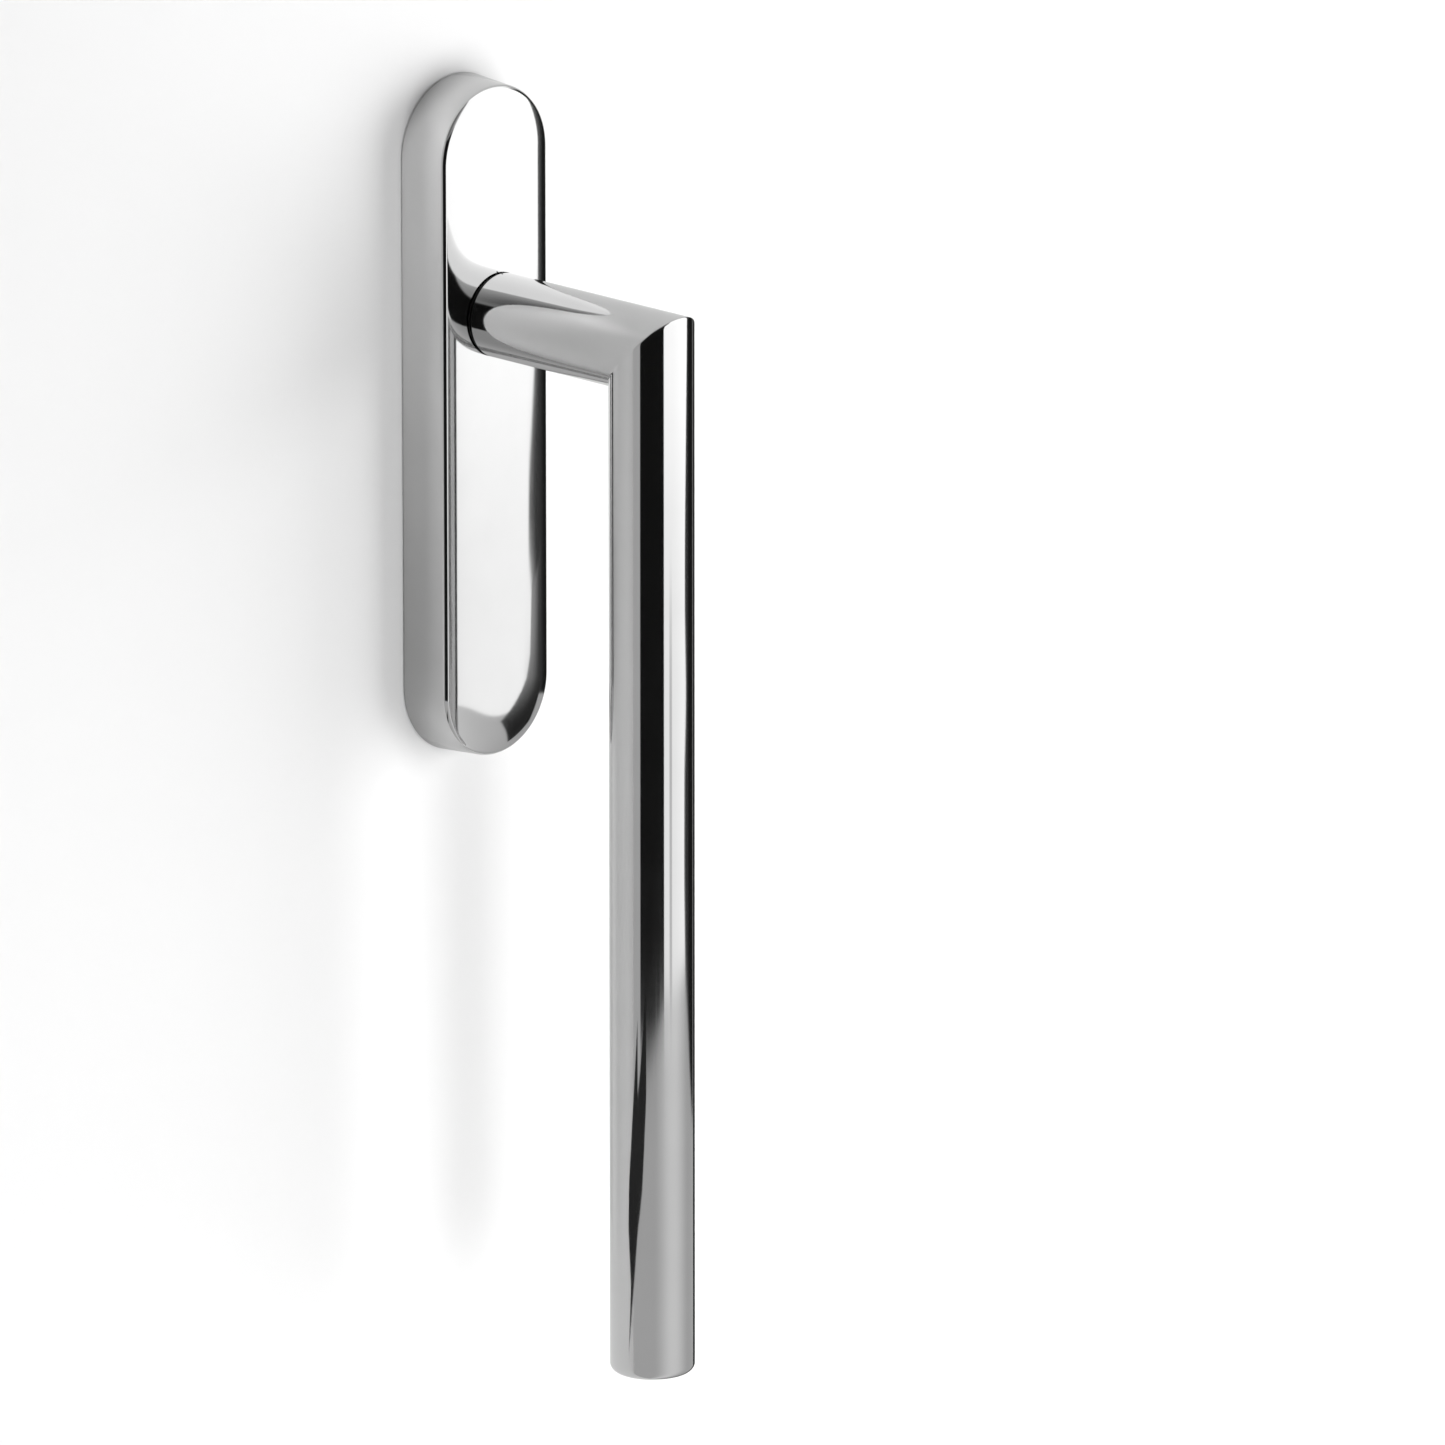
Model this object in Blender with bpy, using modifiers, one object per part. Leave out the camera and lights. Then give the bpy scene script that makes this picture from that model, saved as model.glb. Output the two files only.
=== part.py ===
"""Lift-and-slide door handle: a round bar grip on a mitred neck, turning in a tall
crowned cover plate.

World frame: the door face is the plane y = 0, the handle stands out of it towards -Y,
+X is to the right and +Z is up. The origin is where the spindle axis meets the door face.

The pieces are modelled in the "door_face" and "lever_axis" empties' own frame, which
lies on the door: x to the right, y up, z out of the door. Lengths there are in
millimetres times MM.
"""
import bpy
import bmesh
from math import cos, pi, radians, sin, tan
from mathutils import Matrix, Vector

MM = 0.001
GAP = 0.3                    # clearance left between neighbouring pieces

# Cover plate (an obround: two half circles joined by straight sides)
TOP_CENTRE = 37.5            # centre of the upper half circle, above the spindle axis
BOTTOM_CENTRE = -89.6        # centre of the lower half circle
COVER_RADIUS = 17.9          # half width at the door
COVER_FRONT_RADIUS = 17.0    # half width where the drafted side wall ends
WALL_TOP = 12.2              # height where the side wall runs into the rounded edge
RIM_HEIGHT = 13.25           # height of the face at its border
CROWN = 1.35                 # how much the middle of the face stands above its border
CROWN_POWER = 3.7            # how fast the crown falls away towards the border
EDGE_ROUND = 1.4
COVER_WALL = 1.5
COVER_INNER_TOP = 12.4
COVER_FOOT = 0.3             # the cover's rear rim stays this far off the door
NECK_HOLE_RADIUS = 9.5
CROWN_RADII = (14.4, 12.8, 10.8, 8.2, 4.5, 0.6)   # outlines that the crowned face is built on
TONGUE_REAR = 7.9            # tip of the tongues that the clips grip
NECK_RING_RADIUS = 9.6

# Lever
TUBE_RADIUS = 10.0
TUBE_WALL = 1.5
NECK_START = 15.6            # rear end of the neck tube
GRIP_AXIS = 64.3             # grip axis, out from the door face
GRIP_BOTTOM = -246.3
GRIP_END_ROUND = 2.0
END_CAP_HEIGHT = 4.4
END_CAP_SPIGOT = 14.0
NECK_CHAMFER = 0.3

# Base plate and what it holds
GASKET_THICKNESS = 1.0
BASE_RADIUS = 15.0
BASE_REAR = 1.3
BASE_FLOOR = 6.3
BASE_CHAMFER = 0.5
BOSS_RADIUS = 14.4
BOSS_TOP = 10.6
KEEPER_REAR = 10.9
KEEPER_FRONT = 11.9
KEEPER_RADIUS = 14.8
SCREW_PITCH = 80.0           # spacing of the two fixing screws
UPPER_SCREW = 21.5
FIXING_SCREWS = {"upper": UPPER_SCREW, "lower": UPPER_SCREW - SCREW_PITCH}
SLEEVE_RADIUS = 5.0
SLEEVE_REACH = -9.0          # the locating sleeves' end, behind the door face
M6_RADIUS = 3.0
M6_HEAD_RADIUS = 5.6
M6_HEAD_TOP = 6.1
M6_HEAD_HEIGHT = 2.6
M6_END = -32.0
KEEPER_SCREW_PLACE = 12.6
KEEPER_SCREW_RADIUS = 1.0
KEEPER_SCREW_HEAD = 1.5
KEEPER_SCREW_END = 7.2
CLIP_PLACES = {"upper": 44.0, "lower": -84.0}
GASKET_HUB_HOLE = 11.0
BUSH_RADIUS = 9.4
BUSH_FLANGE_RADIUS = 10.3
BUSH_FLANGE_REAR = 3.5
BUSH_FLANGE_FRONT = 4.0
WASHER_REAR = 2.8
WASHER_FRONT = 3.3
CLIP_GAUGE = 0.5
CLIP_LENGTH = 7.0

# Hub, spindle and detent
HUB_RADIUS = 8.2
HUB_REAR = 1.2
HUB_FRONT = 30.0
SPINDLE_SIDE = 10.0
SPINDLE_GAP = 0.15
SPINDLE_REAR = -40.0
SPINDLE_FRONT = 24.0
SET_SCREW_PLACE = 20.5
SET_SCREW_RADIUS = 2.2
RETAINER_REAR = 1.6
RETAINER_FRONT = 2.5
RETAINER_RADIUS = 10.2
GROOVE_RADIUS = 7.6
CAM_RADIUS = 10.6
CAM_FLAT = 9.6
CAM_REAR = 6.6
CAM_FRONT = 10.3
SPRING_HALF_LENGTH = 7.4
SPRING_THICKNESS = 0.5
SPRING_BOW = 0.8
SPRING_SLOT = 11.4

ROUND_SEGMENTS = 64
SMALL_SEGMENTS = 32


def clear_scene():
    for item in list(bpy.data.objects):
        bpy.data.objects.remove(item, do_unlink=True)


def new_collection(name):
    collection = bpy.data.collections.new(name)
    bpy.context.scene.collection.children.link(collection)
    return collection


def new_empty(name, location):
    """An empty whose z points out of the door and whose y points up."""
    empty = bpy.data.objects.new(name, None)
    empty.location = location
    empty.rotation_euler = (pi / 2, 0.0, 0.0)
    PARTS.objects.link(empty)
    return empty


def finish_material(name, color, roughness, metallic):
    material = bpy.data.materials.new(name)
    material.use_nodes = True
    shader = material.node_tree.nodes["Principled BSDF"]
    shader.inputs["Base Color"].default_value = (*color, 1.0)
    shader.inputs["Roughness"].default_value = roughness
    shader.inputs["Metallic"].default_value = metallic
    return material


def add_object(name, bm, parent, material=None):
    """Turn a bmesh in millimetres into an object; without a material it is a cutter."""
    bmesh.ops.scale(bm, vec=(MM, MM, MM), verts=bm.verts)
    mesh = bpy.data.meshes.new(name)
    bm.to_mesh(mesh)
    bm.free()
    obj = bpy.data.objects.new(name, mesh)
    obj.parent = parent
    if material is None:
        CUTTERS.objects.link(obj)
        obj.hide_render = True
        obj.display_type = "WIRE"
    else:
        PARTS.objects.link(obj)
        mesh.materials.append(material)
        mesh.shade_smooth()
        mesh.set_sharp_from_angle(angle=radians(30))
    return obj


def cut(obj, *cutters, operation="DIFFERENCE"):
    """Cut an object with one or more cutters, or join them to it, in one Boolean."""
    modifier = obj.modifiers.new(operation.lower(), "BOOLEAN")
    modifier.operation = operation
    modifier.solver = "EXACT"
    if len(cutters) == 1:
        modifier.object = cutters[0]
        return
    group = bpy.data.collections.new(f"{obj.name}_{operation.lower()}")
    CUTTERS.children.link(group)
    for cutter in cutters:
        CUTTERS.objects.unlink(cutter)
        group.objects.link(cutter)
    modifier.operand_type = "COLLECTION"
    modifier.collection = group


def turned(name, profile, parent, material=None, centre=(0.0, 0.0), segments=ROUND_SEGMENTS):
    """A turned piece: profile is (radius, height) points down its outer side.

    A ring's profile is closed, a solid one starts and ends on the axis.
    """
    bm = bmesh.new()
    verts = [bm.verts.new((radius, 0.0, height)) for radius, height in profile]
    for first, second in zip(verts, verts[1:]):
        bm.edges.new((first, second))
    if min(radius for radius, _ in profile) > 0.0:
        bm.edges.new((verts[-1], verts[0]))
    obj = add_object(name, bm, parent, material)
    obj.location = (centre[0] * MM, centre[1] * MM, 0.0)
    screw = obj.modifiers.new("turn", "SCREW")
    screw.axis = "Z"
    screw.angle = 2 * pi
    screw.steps = segments
    screw.render_steps = segments
    screw.use_merge_vertices = True
    screw.merge_threshold = 0.00001
    screw.use_smooth_shade = True
    return obj


def ring_profile(inner, outer, rear, front):
    return [(inner, front), (outer, front), (outer, rear), (inner, rear)]


def rod_profile(radius, rear, front):
    return [(0.0, front), (radius, front), (radius, rear), (0.0, rear)]


def block(name, low, high, parent, material=None):
    bm = bmesh.new()
    bmesh.ops.create_cube(bm, size=1.0)
    size = Vector(high) - Vector(low)
    bmesh.ops.scale(bm, vec=size, verts=bm.verts)
    bmesh.ops.translate(bm, vec=Vector(low) + size / 2, verts=bm.verts)
    return add_object(name, bm, parent, material)


def obround(radius, height, steps=24):
    """Points of an obround outline, anticlockwise seen from the front."""
    points = []
    for centre, start in ((TOP_CENTRE, 0.0), (BOTTOM_CENTRE, pi)):
        for step in range(steps + 1):
            angle = start + pi * step / steps
            points.append((radius * cos(angle), centre + radius * sin(angle), height))
    return points


def obround_stack(name, sections, parent, material=None):
    """A solid whose skin runs through obrounds, (radius, height), from rear to front."""
    bm = bmesh.new()
    ring = [bm.verts.new(point) for point in obround(*sections[0])]
    bottom = bm.faces.new(ring)
    edges = list(bottom.edges)
    for radius, height in sections[1:]:
        made = bmesh.ops.extrude_edge_only(bm, edges=edges)["geom"]
        edges = [item for item in made if isinstance(item, bmesh.types.BMEdge)]
        # each new vertex keeps its place in the outline
        partner = {}
        for new in (item for item in made if isinstance(item, bmesh.types.BMVert)):
            for edge in new.link_edges:
                other = edge.other_vert(new)
                if other in ring:
                    partner[other] = new
        ring = [partner[vert] for vert in ring]
        for vert, place in zip(ring, obround(radius, height)):
            vert.co = place
    bm.faces.new(ring)
    bmesh.ops.recalc_face_normals(bm, faces=bm.faces)
    return add_object(name, bm, parent, material)


def crown_height(radius):
    """Height of the face where its outline is an obround of this radius."""
    return RIM_HEIGHT + CROWN * (1.0 - (radius / COVER_FRONT_RADIUS) ** CROWN_POWER)


def cover_sections():
    sections = [(COVER_RADIUS, COVER_FOOT), (COVER_FRONT_RADIUS, WALL_TOP)]
    inset = COVER_FRONT_RADIUS - EDGE_ROUND
    round_steps = 5
    for step in range(1, round_steps + 1):
        angle = radians(78) * step / round_steps
        lift = sin(angle) * (crown_height(inset) - WALL_TOP)
        sections.append((inset + EDGE_ROUND * cos(angle), WALL_TOP + lift))
    for radius in CROWN_RADII:
        sections.append((radius, crown_height(radius)))
    return sections


def make_cover_plate():
    cover = obround_stack("cover_plate", cover_sections(), DOOR, POLISHED)
    inner_rear = COVER_RADIUS - COVER_WALL
    inner_front = COVER_FRONT_RADIUS - COVER_WALL - 0.2
    hollow = obround_stack("cover_hollow", [
        (inner_rear, -1.0), (inner_front, COVER_INNER_TOP - 1.0),
        (inner_front - 1.0, COVER_INNER_TOP)], DOOR)
    cut(cover, hollow, turned("cover_neck_hole", rod_profile(NECK_HOLE_RADIUS, 5.0, 20.0), DOOR))
    tongues = [block(f"cover_tongue_{side}", (-1.0, place - 3.0, TONGUE_REAR),
                     (1.0, place + 3.0, COVER_INNER_TOP + 0.8), DOOR)
               for side, place in CLIP_PLACES.items()]
    cut(cover, *tongues, operation="UNION")


def make_neck_ring():
    """Black ring in the cover's hole: the front guide of the hub."""
    bore = HUB_RADIUS + GAP
    seat = RIM_HEIGHT + CROWN + GAP / 2
    turned("neck_ring", [
        (bore, NECK_START - GAP), (NECK_RING_RADIUS, NECK_START - GAP), (NECK_RING_RADIUS, seat),
        (NECK_HOLE_RADIUS - GAP, seat), (NECK_HOLE_RADIUS - GAP, COVER_INNER_TOP),
        (bore, COVER_INNER_TOP)], DOOR, BLACK_PLASTIC)


def make_door_gasket():
    gasket = obround_stack("door_gasket", [(BASE_RADIUS, 0.0), (BASE_RADIUS, GASKET_THICKNESS)],
                           DOOR, RUBBER)
    holes = [turned("gasket_hub_hole", rod_profile(GASKET_HUB_HOLE, -1.0, 3.0), DOOR)]
    for side, place in FIXING_SCREWS.items():
        holes.append(turned(f"gasket_sleeve_hole_{side}",
                            rod_profile(SLEEVE_RADIUS + GAP, -1.0, 3.0), DOOR,
                            centre=(0.0, place), segments=SMALL_SEGMENTS))
    cut(gasket, *holes)


def make_base_plate():
    base = obround_stack("base_plate", [
        (BASE_RADIUS, BASE_REAR), (BASE_RADIUS, BASE_FLOOR - BASE_CHAMFER),
        (BASE_RADIUS - BASE_CHAMFER, BASE_FLOOR)], DOOR, CAST)
    solids = [turned("base_boss", rod_profile(BOSS_RADIUS, BASE_REAR + 1.0, BOSS_TOP), DOOR)]
    for side, place in FIXING_SCREWS.items():
        solids.append(turned(f"base_sleeve_{side}",
                             rod_profile(SLEEVE_RADIUS, SLEEVE_REACH, BASE_REAR + 1.5), DOOR,
                             centre=(0.0, place), segments=SMALL_SEGMENTS))
    cut(base, *solids, operation="UNION")

    # stepped bore: cam chamber in front, bearing seat, retainer recess behind
    seat = BUSH_RADIUS + GAP
    recess = BUSH_FLANGE_RADIUS + GAP
    holes = [turned("base_bore", [
        (0.0, BOSS_TOP + 1.0), (CAM_RADIUS + GAP, BOSS_TOP + 1.0), (CAM_RADIUS + GAP, BASE_FLOOR),
        (seat, BASE_FLOOR), (seat, BUSH_FLANGE_FRONT + GAP), (recess, BUSH_FLANGE_FRONT + GAP),
        (recess, BASE_REAR - 1.0), (0.0, BASE_REAR - 1.0)], DOOR)]
    holes.append(block("base_spring_slot",
                       (-SPRING_SLOT, -SPRING_HALF_LENGTH - GAP, CAM_REAR),
                       (SPRING_SLOT, SPRING_HALF_LENGTH + GAP, BOSS_TOP + 1.5), DOOR))
    hole = M6_RADIUS + GAP
    head = M6_HEAD_RADIUS + GAP
    for side, place in FIXING_SCREWS.items():
        holes.append(turned(f"base_screw_hole_{side}", [
            (0.0, BASE_FLOOR + 1.0), (head, BASE_FLOOR + 1.0), (head, M6_HEAD_TOP),
            (hole, M6_HEAD_TOP - M6_HEAD_HEIGHT), (hole, SLEEVE_REACH - 1.0),
            (0.0, SLEEVE_REACH - 1.0)], DOOR, centre=(0.0, place), segments=SMALL_SEGMENTS))
    for sign, side in ((1, "upper"), (-1, "lower")):
        holes.append(turned(f"base_keeper_hole_{side}",
                            rod_profile(KEEPER_SCREW_RADIUS + GAP, KEEPER_SCREW_END - GAP,
                                        BOSS_TOP + 2.0),
                            DOOR, centre=(0.0, sign * KEEPER_SCREW_PLACE), segments=16))
    cut(base, *holes)


def make_bearing_bush():
    bore = HUB_RADIUS + GAP
    turned("bearing_bush", [
        (bore, BASE_FLOOR - 0.1), (BUSH_RADIUS, BASE_FLOOR - 0.1),
        (BUSH_RADIUS, BUSH_FLANGE_FRONT), (BUSH_FLANGE_RADIUS, BUSH_FLANGE_FRONT),
        (BUSH_FLANGE_RADIUS, BUSH_FLANGE_REAR), (bore, BUSH_FLANGE_REAR)], DOOR, WHITE_PLASTIC)


def make_detent_keeper():
    hole = KEEPER_SCREW_RADIUS + GAP
    sink = KEEPER_SCREW_HEAD + 0.25
    cone = KEEPER_SCREW_HEAD - KEEPER_SCREW_RADIUS
    keeper = turned("detent_keeper",
                    ring_profile(HUB_RADIUS + GAP, KEEPER_RADIUS, KEEPER_REAR, KEEPER_FRONT),
                    DOOR, STEEL)
    holes = []
    for sign, side in ((1, "upper"), (-1, "lower")):
        place = (0.0, sign * KEEPER_SCREW_PLACE)
        holes.append(turned(f"keeper_hole_{side}", [
            (0.0, KEEPER_FRONT + 0.5), (sink, KEEPER_FRONT + 0.5), (sink, KEEPER_FRONT - 0.1),
            (hole, KEEPER_FRONT - 0.6), (hole, KEEPER_REAR - 0.5), (0.0, KEEPER_REAR - 0.5)],
            DOOR, centre=place, segments=16))
        screw = turned(f"keeper_screw_{side}", [
            (0.0, KEEPER_FRONT), (KEEPER_SCREW_HEAD, KEEPER_FRONT),
            (KEEPER_SCREW_HEAD, KEEPER_FRONT - 0.15),
            (KEEPER_SCREW_RADIUS, KEEPER_FRONT - 0.15 - cone),
            (KEEPER_SCREW_RADIUS, KEEPER_SCREW_END), (0.0, KEEPER_SCREW_END)],
            DOOR, STEEL, centre=place, segments=16)
        recess = block(f"keeper_screw_slot_{side}", (-2.0, place[1] - 0.25, KEEPER_FRONT - 0.4),
                       (2.0, place[1] + 0.25, KEEPER_FRONT + 1.0), DOOR)
        cut(screw, recess)
    cut(keeper, *holes)


def make_detent_springs():
    """Two bowed leaf springs that bear on the cam's flats."""
    for sign, side in ((-1, "left"), (1, "right")):
        bm = bmesh.new()
        steps = 12
        ring = []
        for step in range(steps + 1):
            along = 2.0 * step / steps - 1.0
            across = CAM_FLAT + GAP + SPRING_THICKNESS / 2 + SPRING_BOW * along * along
            ring.append(bm.verts.new((sign * across, along * SPRING_HALF_LENGTH, CAM_REAR + 0.2)))
        edges = [bm.edges.new(pair) for pair in zip(ring, ring[1:])]
        made = bmesh.ops.extrude_edge_only(bm, edges=edges)["geom"]
        top = [item for item in made if isinstance(item, bmesh.types.BMVert)]
        bmesh.ops.translate(bm, vec=(0.0, 0.0, CAM_FRONT - CAM_REAR - 0.4), verts=top)
        spring = add_object(f"detent_spring_{side}", bm, DOOR, SPRING_STEEL)
        wall = spring.modifiers.new("strip", "SOLIDIFY")
        wall.thickness = SPRING_THICKNESS * MM
        wall.offset = 0.0


def make_fixing_screws():
    for side, place in FIXING_SCREWS.items():
        screw = turned(f"fixing_screw_{side}", [
            (0.0, M6_HEAD_TOP), (M6_HEAD_RADIUS, M6_HEAD_TOP),
            (M6_RADIUS, M6_HEAD_TOP - M6_HEAD_HEIGHT), (M6_RADIUS, M6_END + 1.0),
            (M6_RADIUS - 1.0, M6_END), (0.0, M6_END)],
            DOOR, STEEL, centre=(0.0, place), segments=SMALL_SEGMENTS)
        socket = turned(f"fixing_screw_socket_{side}", rod_profile(2.2, M6_HEAD_TOP - 2.2, 9.0),
                        DOOR, centre=(0.0, place), segments=6)
        cut(screw, socket)


def make_cover_clips():
    """U-shaped spring clips on the base that grip the cover's tongues."""
    foot = BASE_FLOOR + GAP
    for side, place in CLIP_PLACES.items():
        bm = bmesh.new()
        outline = [(-2.3, 11.6), (-1.5, 9.4), (-2.0, foot + 0.25), (2.0, foot + 0.25),
                   (1.5, 9.4), (2.3, 11.6)]
        ring = [bm.verts.new((x, place - CLIP_LENGTH / 2, z)) for x, z in outline]
        edges = [bm.edges.new(pair) for pair in zip(ring, ring[1:])]
        made = bmesh.ops.extrude_edge_only(bm, edges=edges)["geom"]
        far = [item for item in made if isinstance(item, bmesh.types.BMVert)]
        bmesh.ops.translate(bm, vec=(0.0, CLIP_LENGTH, 0.0), verts=far)
        clip = add_object(f"cover_clip_{side}", bm, DOOR, SPRING_STEEL)
        strip = clip.modifiers.new("strip", "SOLIDIFY")
        strip.thickness = CLIP_GAUGE * MM
        strip.offset = 0.0


def make_thrust_washer():
    turned("thrust_washer", ring_profile(HUB_RADIUS + GAP, RETAINER_RADIUS, WASHER_REAR, WASHER_FRONT),
           DOOR, STEEL)


def mitre_cutter(name, side):
    """A block on one side of the mitre plane between the neck and the grip."""
    size = 60.0
    bm = bmesh.new()
    bmesh.ops.create_cube(bm, size=size)
    offset = size / 2 - GAP / 2
    turn = Matrix.Rotation(radians(45), 4, "X")
    bmesh.ops.translate(bm, vec=(0.0, 0.0, side * offset), verts=bm.verts)
    bmesh.ops.transform(bm, matrix=turn, verts=bm.verts)
    bmesh.ops.translate(bm, vec=(0.0, 0.0, GRIP_AXIS), verts=bm.verts)
    return add_object(name, bm, LEVER)


def across(name, profile, material=None, segments=SMALL_SEGMENTS):
    """A turned piece on the set screw's axis, which runs down from the spindle axis."""
    obj = turned(name, profile, LEVER, material, segments=segments)
    obj.rotation_euler = (pi / 2, 0.0, 0.0)
    obj.location = (0.0, 0.0, SET_SCREW_PLACE * MM)
    return obj


def make_neck_tube():
    inner = TUBE_RADIUS - TUBE_WALL
    neck = turned("neck_tube", [
        (inner, GRIP_AXIS + 15.0), (TUBE_RADIUS, GRIP_AXIS + 15.0),
        (TUBE_RADIUS, NECK_START + NECK_CHAMFER), (TUBE_RADIUS - NECK_CHAMFER, NECK_START),
        (inner, NECK_START)], LEVER, POLISHED)
    hole = across("neck_set_screw_hole", rod_profile(SET_SCREW_RADIUS + GAP, 5.0, 15.0))
    cut(neck, mitre_cutter("neck_mitre", 1), hole)


def make_grip():
    inner = TUBE_RADIUS - TUBE_WALL
    joint = GRIP_BOTTOM + END_CAP_HEIGHT
    grip = turned("grip_tube", ring_profile(inner, TUBE_RADIUS, joint, 15.0), LEVER, POLISHED)
    grip.rotation_euler = (-pi / 2, 0.0, 0.0)
    grip.location = (0.0, 0.0, GRIP_AXIS * MM)
    cut(grip, mitre_cutter("grip_mitre", -1))

    low = GRIP_BOTTOM
    profile = [(0.0, joint + END_CAP_SPIGOT), (inner - GAP - 0.5, joint + END_CAP_SPIGOT),
               (inner - GAP, joint + END_CAP_SPIGOT - 0.5), (inner - GAP, joint - GAP),
               (TUBE_RADIUS, joint - GAP)]
    round_steps = 6
    for step in range(round_steps + 1):
        angle = (pi / 2) * step / round_steps
        profile.append((TUBE_RADIUS - GRIP_END_ROUND * (1 - cos(angle)),
                        low + GRIP_END_ROUND * (1 - sin(angle))))
    profile.append((0.0, low))
    cap = turned("grip_end_cap", profile, LEVER, POLISHED)
    cap.rotation_euler = (-pi / 2, 0.0, 0.0)
    cap.location = (0.0, 0.0, GRIP_AXIS * MM)


def make_hub():
    """Steel insert fixed in the neck: journal, retainer groove and square socket."""
    hub = turned("lever_hub", [
        (0.0, HUB_FRONT), (HUB_RADIUS - 0.5, HUB_FRONT), (HUB_RADIUS, HUB_FRONT - 0.5),
        (HUB_RADIUS, RETAINER_FRONT + 0.15), (GROOVE_RADIUS, RETAINER_FRONT + 0.15),
        (GROOVE_RADIUS, RETAINER_REAR - 0.15), (HUB_RADIUS, RETAINER_REAR - 0.15),
        (HUB_RADIUS, HUB_REAR), (0.0, HUB_REAR)], LEVER, STEEL)
    half = SPINDLE_SIDE / 2 + SPINDLE_GAP
    socket = block("hub_socket", (-half, -half, HUB_REAR - 1.0),
                   (half, half, SPINDLE_FRONT + SPINDLE_GAP), LEVER)
    cut(hub, socket, across("hub_set_screw_hole", rod_profile(SET_SCREW_RADIUS + GAP, 3.0, 12.0)))


def make_spindle():
    half = SPINDLE_SIDE / 2
    spindle = block("spindle", (-half, -half, SPINDLE_REAR), (half, half, SPINDLE_FRONT),
                    LEVER, STEEL)
    edge = spindle.modifiers.new("edge", "BEVEL")
    edge.width = 0.6 * MM
    edge.segments = 1
    edge.limit_method = "ANGLE"

    screw = across("spindle_set_screw",
                   rod_profile(SET_SCREW_RADIUS, half + GAP, TUBE_RADIUS - 0.4), STEEL)
    cut(screw, across("set_screw_socket", rod_profile(1.25, TUBE_RADIUS - 2.4, 12.0), segments=6))


def make_detent_cam():
    """Ring with two flats: it rests against the springs with the grip down or up."""
    cam = turned("detent_cam", ring_profile(HUB_RADIUS + GAP, CAM_RADIUS, CAM_REAR, CAM_FRONT),
                 LEVER, STEEL)
    cut(cam, block("cam_flat_left", (-15.0, -15.0, 5.0), (-CAM_FLAT, 15.0, 12.0), LEVER),
        block("cam_flat_right", (CAM_FLAT, -15.0, 5.0), (15.0, 15.0, 12.0), LEVER))


def make_retaining_ring():
    """Open snap ring in the hub's groove."""
    ring = turned("retaining_ring",
                  ring_profile(GROOVE_RADIUS + GAP, RETAINER_RADIUS, RETAINER_REAR,
                               RETAINER_FRONT), LEVER, SPRING_STEEL)
    cut(ring, block("retaining_ring_opening", (-3.0, 0.0, 0.0), (3.0, 15.0, 5.0), LEVER))


clear_scene()
PARTS = new_collection("lift_and_slide_handle")
CUTTERS = new_collection("cutters")
DOOR = new_empty("door_face", (0.0, 0.0, 0.0))
LEVER = new_empty("lever_axis", (0.0, 0.0, 0.0))

POLISHED = finish_material("polished_steel", (0.78, 0.78, 0.78), 0.06, 1.0)
STEEL = finish_material("zinc_plated_steel", (0.62, 0.63, 0.64), 0.35, 1.0)
SPRING_STEEL = finish_material("spring_steel", (0.40, 0.41, 0.43), 0.30, 1.0)
CAST = finish_material("die_cast", (0.55, 0.55, 0.56), 0.45, 1.0)
BLACK_PLASTIC = finish_material("black_plastic", (0.02, 0.02, 0.02), 0.45, 0.0)
WHITE_PLASTIC = finish_material("bearing_plastic", (0.80, 0.79, 0.75), 0.45, 0.0)
RUBBER = finish_material("gasket_rubber", (0.05, 0.05, 0.05), 0.80, 0.0)

make_cover_plate()
make_neck_ring()
make_door_gasket()
make_base_plate()
make_bearing_bush()
make_detent_keeper()
make_detent_springs()
make_fixing_screws()
make_cover_clips()
make_thrust_washer()
make_neck_tube()
make_grip()
make_hub()
make_spindle()
make_detent_cam()
make_retaining_ring()
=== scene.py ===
"""Lift-and-slide door handle: the finished looks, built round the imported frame.

World frame: the door face is the plane y = 0, the handle stands out of it towards -Y,
+X is to the right and +Z is up. Shapes are drawn in millimetres and scaled once, when
each piece is finished. Places come from the frame's own boxes.
"""
from math import atan, cos, degrees, pi, radians, sin, tan

import bmesh
import bpy
from mathutils import Matrix, Vector


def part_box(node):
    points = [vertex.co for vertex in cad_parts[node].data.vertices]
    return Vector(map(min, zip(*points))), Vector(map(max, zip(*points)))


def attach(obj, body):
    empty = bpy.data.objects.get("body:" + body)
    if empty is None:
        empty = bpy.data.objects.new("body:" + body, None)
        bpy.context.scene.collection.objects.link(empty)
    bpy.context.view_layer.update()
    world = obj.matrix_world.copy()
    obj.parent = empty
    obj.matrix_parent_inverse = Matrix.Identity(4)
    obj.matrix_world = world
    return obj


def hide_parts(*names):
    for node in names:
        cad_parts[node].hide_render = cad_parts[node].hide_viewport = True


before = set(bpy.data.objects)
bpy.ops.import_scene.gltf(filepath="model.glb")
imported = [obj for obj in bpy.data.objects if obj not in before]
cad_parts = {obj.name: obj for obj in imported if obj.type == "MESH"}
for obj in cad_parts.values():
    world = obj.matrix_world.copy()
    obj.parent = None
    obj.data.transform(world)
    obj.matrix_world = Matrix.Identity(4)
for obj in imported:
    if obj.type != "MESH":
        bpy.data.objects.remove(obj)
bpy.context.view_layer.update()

MM = 0.001


def box_mm(node):
    """Lowest and highest corner of a node of the frame, in millimetres."""
    low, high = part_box(node)
    return Vector(low) / MM, Vector(high) / MM


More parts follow.
